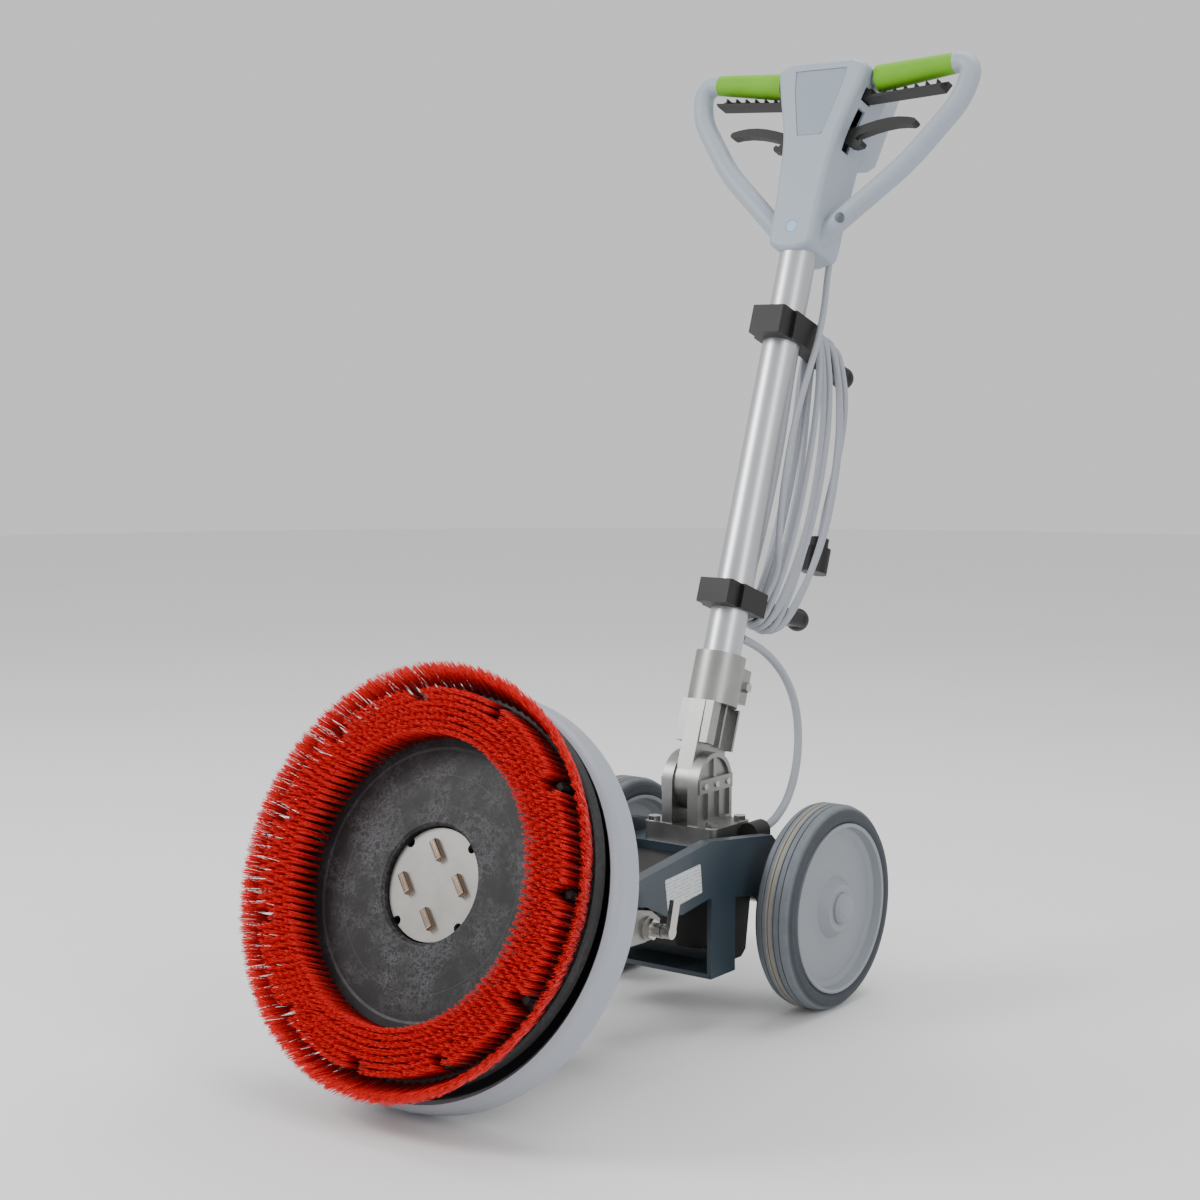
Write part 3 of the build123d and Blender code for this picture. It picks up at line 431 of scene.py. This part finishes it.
slate = enamel("slate_enamel", tone(45, 57, 66))
black_enamel = enamel("black_enamel", tone(30, 33, 36), 0.4)
casting = bare_metal("bright_casting", (0.40, 0.40, 0.39), 0.4, 380.0, 0.22, 0.34)
zinc = bare_metal("zinc_plate", (0.55, 0.53, 0.50), 0.24, 900.0, 0.03, 0.2)
dark_iron = enamel("motor_enamel", tone(40, 41, 43), 0.45)

wear_nodes(slate, "side_arm_right", "side_arm_left", "cross_plate", "foot_bracket")
wear_nodes(casting, "pivot_base", "socket_casting", "lock_bracket", "drive_hub", "keeper_strips")
wear_nodes(zinc, "axle", "pivot_screws", "mast_pivot_pin", "clamp_bolt", "plunger_sleeve", "index_pin",
           "index_lever", "bail_pins", "head_hinge_pins", "rotor_shaft", "ring_gear", "planet_gears",
           "output_bearing")
wear_nodes(dark_iron, "deck", "motor_shell", "motor_stator", "motor_rotor")
wear_nodes(drawn_tube(), "mast_tube")

# %% [markdown]
# ## The drive plate and the brush's board
# The plate is brushed stainless sheet and its studs are nickel. The board is moulded from reclaimed
# plastic, so it is charcoal with pale wisps, and turning left one fine circle on it.

# %% Plate, studs and board


def brushed_plate():
    """Stainless sheet: fine straight scratches and a faint turned circle."""
    finish = Finish("brushed_plate", 0.36, metallic=0.75)
    local = finish.spot(brush_place.origin, BRUSH_TILT, (1, 1, 1))
    x, y, _ = finish.parts(local)
    radius = (x * x + y * y) ** 0.5
    ring = 1 - (radius - 0.026).abs().over(0.0006, 0.0005)
    scratches = finish.noise(1.0, 4.0, finish.spot(brush_place.origin, BRUSH_TILT, (60.0, 1500.0, 60.0)))
    slow = finish.noise(38.0, 5.0)
    finish.colour(finish.mix(0.7 * slow + 0.3 * scratches, (0.25, 0.245, 0.23), (0.44, 0.43, 0.405)))
    finish.rough(0.3 + 0.16 * scratches + 0.06 * ring)
    return finish.bump(scratches * 0.4 - ring * 0.6, 0.04, 0.4)


def reclaimed_board():
    """Charcoal board with pale wisps, gathered in patches, and a fine turned circle."""
    finish = Finish("reclaimed_board", 0.5, specular=0.4)
    x, y, _ = finish.parts(finish.spot(brush_place.origin, BRUSH_TILT))
    radius = (x * x + y * y) ** 0.5
    circle = 1 - (radius - 0.121).abs().over(0.0005, 0.0004)
    patches = finish.noise(26.0, 5.0).over(0.5, 0.16)
    veins = 1 - (finish.noise(95.0, 8.0, roughness=0.78) - 0.5).abs().over(0.022, 0.03)
    flecks = finish.noise(330.0, 4.0, roughness=0.7).over(0.6, 0.1)
    away = 1 - radius.over(0.138, 0.03)
    pale = (0.55 * veins + 0.35 * flecks) * patches * (0.3 + 0.7 * away)
    finish.colour(finish.mix(pale + 0.16 * circle, tone(22, 22, 24), tone(104, 104, 108)))
    finish.rough(0.42 + 0.2 * finish.noise(60.0, 4.0))
    return finish.bump(finish.noise(160.0, 4.0) - circle, 0.12, 0.4)


wear_nodes(brushed_plate(), "drive_plate")
wear_nodes(bare_metal("nickel_studs", (0.42, 0.33, 0.26), 0.2, 700.0, 0.04, 0.2), "drive_studs")
wear_nodes(reclaimed_board(), "brush_block")

# %% [markdown]
# ## Tyres
# A solid grey tyre with a worn band down the middle of its tread and a dark groove on each side of it. The
# pattern depends on the distance from the axle and the distance across the tread, so it stays put as the
# wheel turns.

# %% Tyre rubber


def tyre_rubber(name, centre_x):
    """Rubber, darker on the side wall, with a beige worn band round the middle of the tread."""
    finish = Finish(name, 0.66, specular=0.35)
    centre = (centre_x, wheel_centre[1], wheel_centre[2])
    x, y, z = finish.parts(finish.spot(centre))
    radius = (y * y + z * z) ** 0.5
    tread = radius.over(0.1255, 0.0022)
    worn = 1 - (x + 0.003).abs().over(0.0045, 0.0012)
    dust = finish.noise(70.0, 5.0)
    scuffs = finish.noise(1.0, 4.0, finish.spot(centre, 0.0, (500.0, 26.0, 26.0)))
    wall = finish.mix(dust, tone(52, 56, 62), tone(70, 75, 82))
    crown = finish.mix(0.55 * dust + 0.45 * scuffs, tone(84, 90, 96), tone(128, 134, 140))
    banded = finish.mix(worn * (0.55 + 0.4 * dust), crown, tone(150, 143, 130))
    finish.colour(finish.mix(tread, wall, banded))
    finish.rough(0.56 + 0.2 * dust)
    return finish.bump(finish.noise(420.0, 4.0), 0.14, 0.5)


for side, sign in (("right", 1), ("left", -1)):
    wear_nodes(tyre_rubber("tyre_rubber_" + side, sign * float(wheel_centre[0])), "tyre_" + side)

# %% [markdown]
# ## Bristles
# A scrubbing brush is bunches of nylon stapled into drilled holes. Each bristle is a thin three-sided
# spike, which is enough for something half a millimetre wide. The inner field stands straight up in
# staggered rings, cut level. The outermost ring is set at a slant, so its bunches fan out past the board. A
# few bunches of the last inner ring are missing where screw bosses stand.

# %% Bristle maths
BOSS_COUNT = 11
BOSS_FIRST = math.radians(102.0)
boss_angles = BOSS_FIRST + np.arange(BOSS_COUNT) * 2 * np.pi / BOSS_COUNT
draw = np.random.default_rng(7)


def spikes(base, tip, thickness, bow=0.0, rings=1):
    """Three-sided spikes from base to tip, as arrays. A point at share s is base + s (tip - base), moved by
    bow s (1 - s) towards the disc's middle, and the spike narrows to 0.55 of its thickness at the tip."""
    share = np.linspace(0, 1, rings + 1)[None, :, None]
    line = base[:, None] + share * (tip - base)[:, None]
    inwards = -base * [1, 1, 0]
    inwards /= np.linalg.norm(inwards, axis=1, keepdims=True)
    line = line + bow * share * (1 - share) * inwards[:, None]
    along = tip - base
    along /= np.linalg.norm(along, axis=1, keepdims=True)
    side = np.cross(along, draw.normal(size=along.shape))
    side /= np.linalg.norm(side, axis=1, keepdims=True)
    other = np.cross(along, side)
    turn = np.arange(3) * 2 * np.pi / 3
    around = np.cos(turn)[None, :, None] * side[:, None] + np.sin(turn)[None, :, None] * other[:, None]
    width = thickness * (1 - 0.45 * share)
    points = line[:, :, None] + width[:, :, None] * around[:, None]
    count, levels = points.shape[:2]
    one = grid_faces(levels, 3, False, True)
    quads = (one[None] + (np.arange(count) * levels * 3)[:, None, None]).reshape(-1, 4)
    ends = np.array([[2, 1, 0], [levels * 3 - 3, levels * 3 - 2, levels * 3 - 1]])
    caps = (ends[None] + (np.arange(count) * levels * 3)[:, None, None]).reshape(-1, 3)
    return points.reshape(-1, 3), [*quads.tolist(), *caps.tolist()]


def bunches(radius, count, offset, skip=0.0):
    """Where bunches stand on one ring, without those nearer to a boss than the angle skip."""
    angle = offset + np.arange(count) * 2 * np.pi / count
    if skip:
        apart = np.abs((angle[:, None] - boss_angles + np.pi) % (2 * np.pi) - np.pi).min(1)
        angle = angle[apart > skip]
    return np.stack([radius * np.cos(angle), radius * np.sin(angle), 0 * angle], -1)


# %% The level inner field
BOARD_FRONT = 10.2 * mm
FIELD_TIP = 55.2 * mm
FIELD_RINGS = 7
HAIRS = 23


def inner_field():
    """Seven staggered rings of upright bunches, each a round bundle that spreads a little towards its tip."""
    places = []
    for ring in range(FIELD_RINGS):
        radius = (162.5 + 7.6 * ring) * mm
        count = int(round(2 * np.pi * radius / (8.6 * mm)))
        skip = math.radians(2.3) if ring >= FIELD_RINGS - 2 else 0.0
        places.append(bunches(radius, count, 0.5 * (ring % 2) * 2 * np.pi / count, skip))
    foot = np.repeat(np.concatenate(places), HAIRS, 0)
    angle = draw.uniform(0, 2 * np.pi, len(foot))
    spread = np.sqrt(draw.uniform(0, 1, len(foot)))
    across = np.stack([np.cos(angle), np.sin(angle), 0 * angle], -1) * spread[:, None]
    base = foot + across * 1.7 * mm
    tip = foot + across * 3.5 * mm
    base[:, 2] = BOARD_FRONT
    tip[:, 2] = FIELD_TIP - 3.2 * mm * draw.uniform(0, 1, len(foot)) ** 2
    return spikes(base, tip, 0.44 * mm)


def outer_fan():
    """One ring of slanted bunches whose bristles fan out past the board, and bow back a little."""
    count, hairs = 112, 84
    foot = np.repeat(bunches(214.5 * mm, count, 0.0), hairs, 0)
    outwards = foot / np.linalg.norm(foot, axis=1, keepdims=True)
    along = np.cross([0, 0, 1.0], outwards)
    a, b = draw.normal(0, 0.5, (2, len(foot))).clip(-1, 1)
    base = foot + (outwards * b[:, None] + along * a[:, None]) * 2.0 * mm
    reach = (20.5 + 5.8 * b) * mm
    tip = foot + outwards * reach[:, None] + along * (a * 9.6 * mm)[:, None]
    base[:, 2] = BOARD_FRONT
    tip[:, 2] = (54.5 - 3.5 * np.abs(a) - 4.0 * draw.uniform(0, 1, len(foot)) ** 2) * mm
    tip[:, :2] *= np.minimum(1, 240.6 * mm / np.linalg.norm(tip[:, :2], axis=1))[:, None]
    return spikes(base, tip, 0.46 * mm, -5.0 * mm, 3)


def nylon():
    """Bright red nylon, glossy; its colour has painted shade low down among the bunches and a painted
    highlight, partly pink, at the tips.
    """
    finish = Finish("red_nylon", 0.38, specular=0.45)
    _, _, height = finish.parts(finish.spot(brush_place.origin, BRUSH_TILT))
    # painted shade and light by height: dark red low among the bunches, bright pinkish red at the tips
    rise = (height / (56 * mm)).over(0.56, 0.32)
    vary = finish.noise(420.0, 2.0).over(0.5, 0.14)
    dark = finish.mix(vary, tone(96, 6, 9), tone(150, 10, 14))
    bright = finish.mix(vary, tone(228, 26, 32), tone(252, 70, 66))
    finish.colour(finish.mix(rise, dark, bright))
    return finish.rough(0.32 + 0.16 * vary)


red_nylon = nylon()
for name, made, stands_for in (("brush_field", inner_field(), "inner_bristles"),
                               ("brush_fan", outer_fan(), "outer_bristles")):
    points, faces = made
    piece = new_piece(name, brush_place.at(points), faces, smooth=False)
    wear(piece, red_nylon)
    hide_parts(stands_for)
    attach(piece, "brush")
    print(name, len(points) // 3, "rings of points,", len(faces), "faces")

# %% The screw bosses between the bunches


def rounded_post(centre, half, bottom, top, turn):
    """A square post with rounded corners: |x/a|^4 + |y/b|^4 = 1 at every height, closed at both ends."""
    t = np.linspace(0, 2 * np.pi, 24, endpoint=False)
    ring = np.stack([np.sign(np.cos(t)) * np.abs(np.cos(t)) ** 0.5 * half[0],
                     np.sign(np.sin(t)) * np.abs(np.sin(t)) ** 0.5 * half[1]], -1)
    ring = ring @ np.array([[math.cos(turn), math.sin(turn)], [-math.sin(turn), math.cos(turn)]])
    levels = [(1.0, bottom), (1.0, top - 1.5 * mm), (0.9, top - 0.4 * mm), (0.78, top)]
    points = [np.column_stack([centre + ring * size, np.full(24, z)]) for size, z in levels]
    faces = grid_faces(len(levels), 24, False, True).tolist()
    return np.array(points).reshape(-1, 3), [*faces, list(range(24))[::-1], list(range(72, 96))]


def bosses():
    points, faces = [], []
    for angle in boss_angles:
        centre = 205.0 * mm * np.array([math.cos(angle), math.sin(angle)])
        p, f = rounded_post(centre, (4.8 * mm, 5.4 * mm), 9.0 * mm, 33.0 * mm, angle)
        faces += [[i + 96 * len(points) for i in face] for face in f]
        points.append(p)
    return np.concatenate(points), faces


points, faces = bosses()
boss_piece = new_piece("screw_bosses", brush_place.at(points), faces)
wear(boss_piece, black_plastic)
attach(boss_piece, "brush")

# %% [markdown]
# ## Panel, badge and plate
# Thin pieces stuck on or let into others: a film in the housing's recess, a round cap over a screw at its
# foot, and the blank rating plate on the right arm. Each is an outline with rounded corners, given a
# thickness and a bevel.

# %% Thin inlays


def rounded_outline(corners, radius, steps=7):
    """Replaces each corner p by the curve (1-t)^2 a + 2t(1-t) p + t^2 b.

    The points a and b lie a radius away from p, on its two edges."""
    p = np.asarray(corners, float)
    to_last, to_next = np.roll(p, 1, 0) - p, np.roll(p, -1, 0) - p
    a = p + to_last * radius / np.linalg.norm(to_last, axis=1, keepdims=True)
    b = p + to_next * radius / np.linalg.norm(to_next, axis=1, keepdims=True)
    t = np.linspace(0, 1, steps)[None, :, None]
    return ((1 - t) ** 2 * a[:, None] + 2 * t * (1 - t) * p[:, None] + t ** 2 * b[:, None]).reshape(-1, 3)


def inlay(name, outline, outwards, thickness, finish, body, bevel=0.5 * mm):
    """An outline raised along a direction by its thickness, its upper edge drawn in by the bevel."""
    outwards = np.asarray(outwards, float) / np.linalg.norm(outwards)
    middle_point = outline.mean(0)
    inwards = middle_point - outline
    inwards /= np.linalg.norm(inwards, axis=1, keepdims=True)
    levels = [(0.0, 0.0), (0.0, thickness * 0.6), (bevel, thickness)]
    points = np.array([outline + inwards * inset + outwards * height for inset, height in levels])
    count = len(outline)
    top, low = list(range(2 * count, 3 * count)), list(range(count))[::-1]
    faces = [*grid_faces(3, count, False, True).tolist(), top, low]
    piece = new_piece(name, points, faces, smooth=False)
    fix_sides(piece)
    wear(piece, finish)
    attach(piece, body)


def fix_sides(piece):
    """Turns every face of a closed piece outwards."""
    work = bmesh.new()
    work.from_mesh(piece.data)
    bmesh.ops.recalc_face_normals(work, faces=work.faces)
    work.to_mesh(piece.data)
    work.free()


FACE_Y = -30.0
recess = np.array([(-40, 980), (40, 980), (36, 950), (19, 884), (-19, 884), (-36, 950)], float)
recess = np.column_stack([recess[:, 0] * 0.985, np.full(6, FACE_Y + 1.6), 932 + (recess[:, 1] - 932) * 0.985])
film = moulded("panel_film", tone(146, 157, 169), 0.22, 60.0, 0.01, 0.02)
inlay("front_panel", mast_place.at(rounded_outline(recess, 7.0) * mm), -mast_place.y, 0.9 * mm, film,
      "mast")

turn = np.linspace(0, 2 * np.pi, 40, endpoint=False)
cap = np.column_stack([8.8 * np.cos(turn), np.full(40, FACE_Y + 1.6), 753 + 8.8 * np.sin(turn)])
inlay("round_badge", mast_place.at(cap * mm), -mast_place.y, 1.8 * mm,
      moulded("badge_blue", tone(150, 186, 214), 0.3, 60.0, 0.01, 0.02), "mast", 0.9 * mm)

ARM_FACE = 105.0
plate_outline = ((-280, 209), (-205, 215), (-201, 179), (-274, 171))
plate_corners = [(ARM_FACE, y + wheel_centre[1] / mm, z) for y, z in plate_outline]


def plate_film():
    """Silver film with faint ruled rows."""
    finish = Finish("plate_film", 0.36, specular=0.4)
    _, y, z = finish.parts(finish.spot())
    rows = ((z - 0.08 * y) * 1000 / 4.4).fraction()
    lines = (1 - (rows - 0.5).abs().over(0.1, 0.06)) * finish.noise(160.0, 1.0).over(0.46, 0.05)
    finish.colour(finish.mix(0.7 * lines, tone(196, 198, 200), tone(96, 98, 102)))
    return finish.rough(0.3 + 0.1 * finish.noise(40.0))


inlay("rating_plate", rounded_outline(np.array(plate_corners) * mm, 2.0 * mm), (1, 0, 0), 0.5 * mm,
      plate_film(), "frame", 0.2 * mm)

# %% [markdown]
# ## The mains cable
# The cable leaves the back of the handle through a bend protector, runs down beside the mast, and is wound
# in long loops over the upper hook and under the lower one, ending in the plug tucked behind. It is one
# smooth curve: the route beside the mast is a list of points, and the turns are a loop of points that
# drifts backwards a cable's width with each turn.

# %% Route and turns
MAINS_D = 9.0 * mm
mains_route = [(18, 50, 796), (18, 51, 742), (23, 47, 700), (33, 37, 662), (40, 26, 612), (40, 16, 556),
               (37, 12, 498), (36, 13, 438), (35, 20, 380), (34, 32, 330), (33, 48, 290)]
TURNS = 6.7
STEPS = 18
START = 0.42            # how far past the bottom the turns begin, in radians
SLOT_HALF = 30.8        # half the width of the loops, in millimetres
LAYER = 4.4             # how far the inner and outer layers lie from the middle one
LOOP_TOP, LOOP_BOTTOM = 640.0, 222.0


def winding():
    """Points of the turns, where s counts turns.

    Each turn goes under the lower hook, up the left side, over the upper hook and down the right side. Across,
    it is a rounded slot. Each turn starts further back than the last and bows backwards half way down, and
    strands lie in two layers by turns, so one can cross its neighbour."""
    s = (np.arange(int(TURNS * STEPS)) + 1) / STEPS
    angle = -0.5 * np.pi + START - 2 * np.pi * s
    across, rise = np.cos(angle), np.sin(angle)
    layer = np.sin(np.pi * s)
    x = (SLOT_HALF + LAYER * layer) * np.sign(across) * np.abs(across) ** 0.55
    top, bottom = LOOP_TOP - 3.0 * layer, LOOP_BOTTOM + 5.0 * np.sin(2.3 * s + 0.8)
    z = 0.5 * (top + bottom) + 0.5 * (top - bottom) * np.sign(rise) * np.abs(rise) ** 0.8
    belly = np.sin(np.pi * ((z - bottom) / (top - bottom)).clip(0, 1)) ** 0.9
    strand = np.floor(2 * (s + 0.433))
    weave = belly * np.sin(2.1 * strand)
    front, back = 45.0 + 27.0 * belly, 111.0 + 55.0 * belly
    y = front + (back - front) * (s / TURNS + 0.15 * weave).clip(0, 1)
    return np.stack([x, y, z], -1)


def smooth_line(points, samples=None):
    """The NURBS curve that has these control points, as a curve object's data."""
    data = bpy.data.curves.new("line", "CURVE")
    data.dimensions = "3D"
    spline = data.splines.new("NURBS")
    spline.points.add(len(points) - 1)
    spline.points.foreach_set("co", np.column_stack([points, np.ones(len(points))]).ravel())
    spline.order_u = 3
    spline.use_endpoint_u = True
    spline.resolution_u = samples or 8
    return data


def curve_points(data):
    """The points along a curve, read from its mesh with no bevel."""
    holder = bpy.data.objects.new("reader", data)
    mesh = bpy.data.meshes.new_from_object(holder)
    points = np.array([v.co for v in mesh.vertices])
    bpy.data.objects.remove(holder)
    return points


def length_of(points):
    return float(np.linalg.norm(np.diff(points, axis=0), axis=1).sum())


tail = [(33, 138, 560), (24, 160, 505), (10, 178, 455), (2, 187, 420), (0, 190, 400), (0, 190, 378)]
mains_points = mast_place.at(np.concatenate([mains_route, winding(), tail]) * mm)
mains_curve = smooth_line(mains_points)
mains_length = length_of(curve_points(mains_curve))
mains_curve.bevel_depth = MAINS_D / 2
mains_curve.bevel_resolution = 5
mains_curve.use_fill_caps = True
mains_piece = bpy.data.objects.new("mains_lead", mains_curve)
bpy.context.scene.collection.objects.link(mains_piece)
mains_curve.materials.append(cable_rubber.material)
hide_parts("mains_cable", "cable_coil")
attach(mains_piece, "mast")
print("mains cable", round(mains_length, 2), "m")

# %% [markdown]
# ## The motor's lead
# A shorter cable leaves the mast through a grommet and bends in a free arc down to a saddle on the chassis.
# The tube is one fixed mesh that runs from the mast to the chassis.

# %% Motor lead
LEAD_D = 11.0 * mm
lead_on_mast = [(0, 34, 200), (4, 62, 199), (14, 96, 190), (26, 128, 168), (36, 150, 134), (44, 158, 92),
                (52, 152, 50), (60, 132, 8), (67, 100, -22)]
AXLE_Y = float(wheel_centre[1])
lead_on_chassis = [(71, 6, 223), (72, -15, 220), (72, -36, 220)]
lead_points = np.concatenate([mast_place.at(np.array(lead_on_mast) * mm),
                              np.array(lead_on_chassis) * mm + [0, AXLE_Y, 0]])
lead_path = curve_points(smooth_line(lead_points, 12))
rings, faces = tube_along(lead_path, LEAD_D / 2)
lead_piece = new_piece("motor_lead_tube", rings, faces)
wear(lead_piece, cable_rubber)
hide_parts("motor_lead")

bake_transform(lead_piece)
print("motor lead", round(length_of(lead_path), 3), "m")

# %% [markdown]
# ## The floor's finish
# A pale matt floor that takes a soft shadow.

# %% Floor
pale_floor = Finish("pale_floor", 0.75, specular=0.2)
pale_floor.colour(pale_floor.mix(pale_floor.noise(3.0, 3.0), (0.86, 0.86, 0.86), (0.90, 0.90, 0.90)))
wear(floor, pale_floor)
